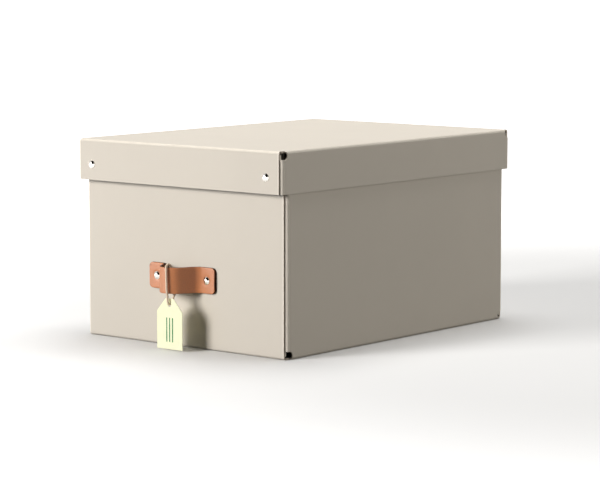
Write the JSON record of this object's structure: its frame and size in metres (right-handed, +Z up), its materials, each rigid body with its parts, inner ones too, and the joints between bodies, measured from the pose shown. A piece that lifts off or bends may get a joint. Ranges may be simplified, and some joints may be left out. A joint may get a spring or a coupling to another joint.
{
  "type": "archival storage box",
  "caption": "Lidded archival storage box of creased greige hardboard with press-studded corners, a riveted leather strap handle and a hang tag.",
  "frame": {"origin": "middle of the body's base, on the surface that the box stands on", "axes": "+Z up; the handle is on the front, which faces -Y; +X is the right-hand side seen from the front"},
  "size_m": [0.2676, 0.3963, 0.2],
  "materials": {
    "board": "satin laminate, warm light greige",
    "stud_metal": "polished nickel",
    "rivet_metal": "polished nickel",
    "leather": "smooth vegetable-tanned cognac leather",
    "tag_paper": "matte cream card",
    "thong": "thin tan thong"
  },
  "bodies": {
    "box": {"base_panel": "board", "front_wall": "board", "rear_wall": "board", "left_wall": "board", "right_wall": "board", "front_right_flap": "board", "front_left_flap": "board", "rear_right_flap": "board", "rear_left_flap": "board", "box_stud_caps": "stud_metal", "box_stud_sockets": "stud_metal", "box_stud_nubs": "stud_metal", "box_stud_backs": "stud_metal", "handle_strap": "leather", "handle_rivet_caps": "rivet_metal", "handle_rivet_posts": "rivet_metal", "handle_washers": "rivet_metal"},
    "lid": {"lid_top_panel": "board", "lid_front_skirt": "board", "lid_rear_skirt": "board", "lid_left_skirt": "board", "lid_right_skirt": "board", "lid_front_right_flap": "board", "lid_front_left_flap": "board", "lid_rear_right_flap": "board", "lid_rear_left_flap": "board", "lid_stud_caps": "stud_metal", "lid_stud_sockets": "stud_metal", "lid_stud_nubs": "stud_metal", "lid_stud_backs": "stud_metal"},
    "tag": {"tag_card": "tag_paper", "tag_cord": "thong", "tag_knot": "thong"}
  },
  "joints": [
    {"name": "lid_lift", "type": "slide", "parent": "box", "child": "lid", "axis": [0, 0, 1], "range_m": [0, 0.16]},
    {"name": "tag_swing", "type": "hinge", "parent": "box", "child": "tag", "pos_m": [0.0045, -0.20465, 0.0827], "axis": [-1, 0, 0], "range_deg": [0, 9]}
  ]
}
